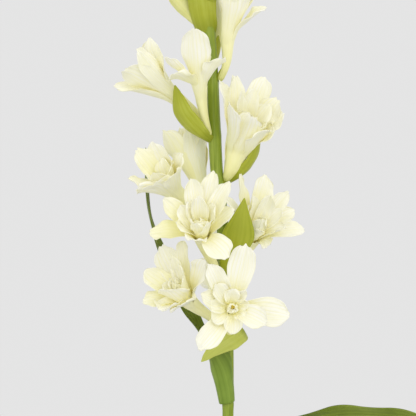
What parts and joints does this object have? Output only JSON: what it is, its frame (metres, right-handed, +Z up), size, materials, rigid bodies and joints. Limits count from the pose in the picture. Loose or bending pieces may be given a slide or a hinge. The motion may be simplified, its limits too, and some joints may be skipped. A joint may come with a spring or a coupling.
{
  "type": "tuberose in vase",
  "caption": "Single cut tuberose spike with double cream florets, green buds and strap leaves, standing in a plain white bottle vase of water.",
  "frame": {"origin": "middle of the vase's flat foot, where it stands", "axes": "+Z up along the spike, -Y towards the viewer of the picture, +X to the right"},
  "size_m": [0.2852, 0.1558, 0.6207],
  "materials": {
    "glaze": "smooth satin white glaze",
    "water": "clear still water",
    "stem_green": "fresh green stem and bracts with a satin skin",
    "leaf_green": "dark olive green leaf with fine parallel veins, satin",
    "petal_cream": "waxy cream-white petal, matte with a soft sheen",
    "bud_yellow": "waxy yellow-green closed bud"
  },
  "bodies": {
    "root": {"vase": "glaze", "water": "water", "stem": "stem_green", "leaf_upper_left": "leaf_green", "leaf_right": "leaf_green", "leaf_left": "leaf_green", "leaf_back": "leaf_green", "floret_top_right": "petal_cream", "floret_top_back": "petal_cream", "floret_upper_front": "petal_cream", "floret_upper_left": "petal_cream", "floret_right": "petal_cream", "floret_left": "petal_cream", "floret_left_back": "petal_cream", "floret_middle": "petal_cream", "floret_lower_right": "petal_cream", "floret_bottom_front": "petal_cream", "floret_bottom_left": "petal_cream", "floret_back": "petal_cream", "floret_low_back": "petal_cream", "bud_1": "bud_yellow", "bud_2": "bud_yellow", "bud_3": "bud_yellow", "bud_4": "bud_yellow", "bud_5": "bud_yellow", "bud_6": "bud_yellow", "bud_7": "bud_yellow", "bud_8": "bud_yellow", "bud_9": "bud_yellow"}
  },
  "joints": []
}
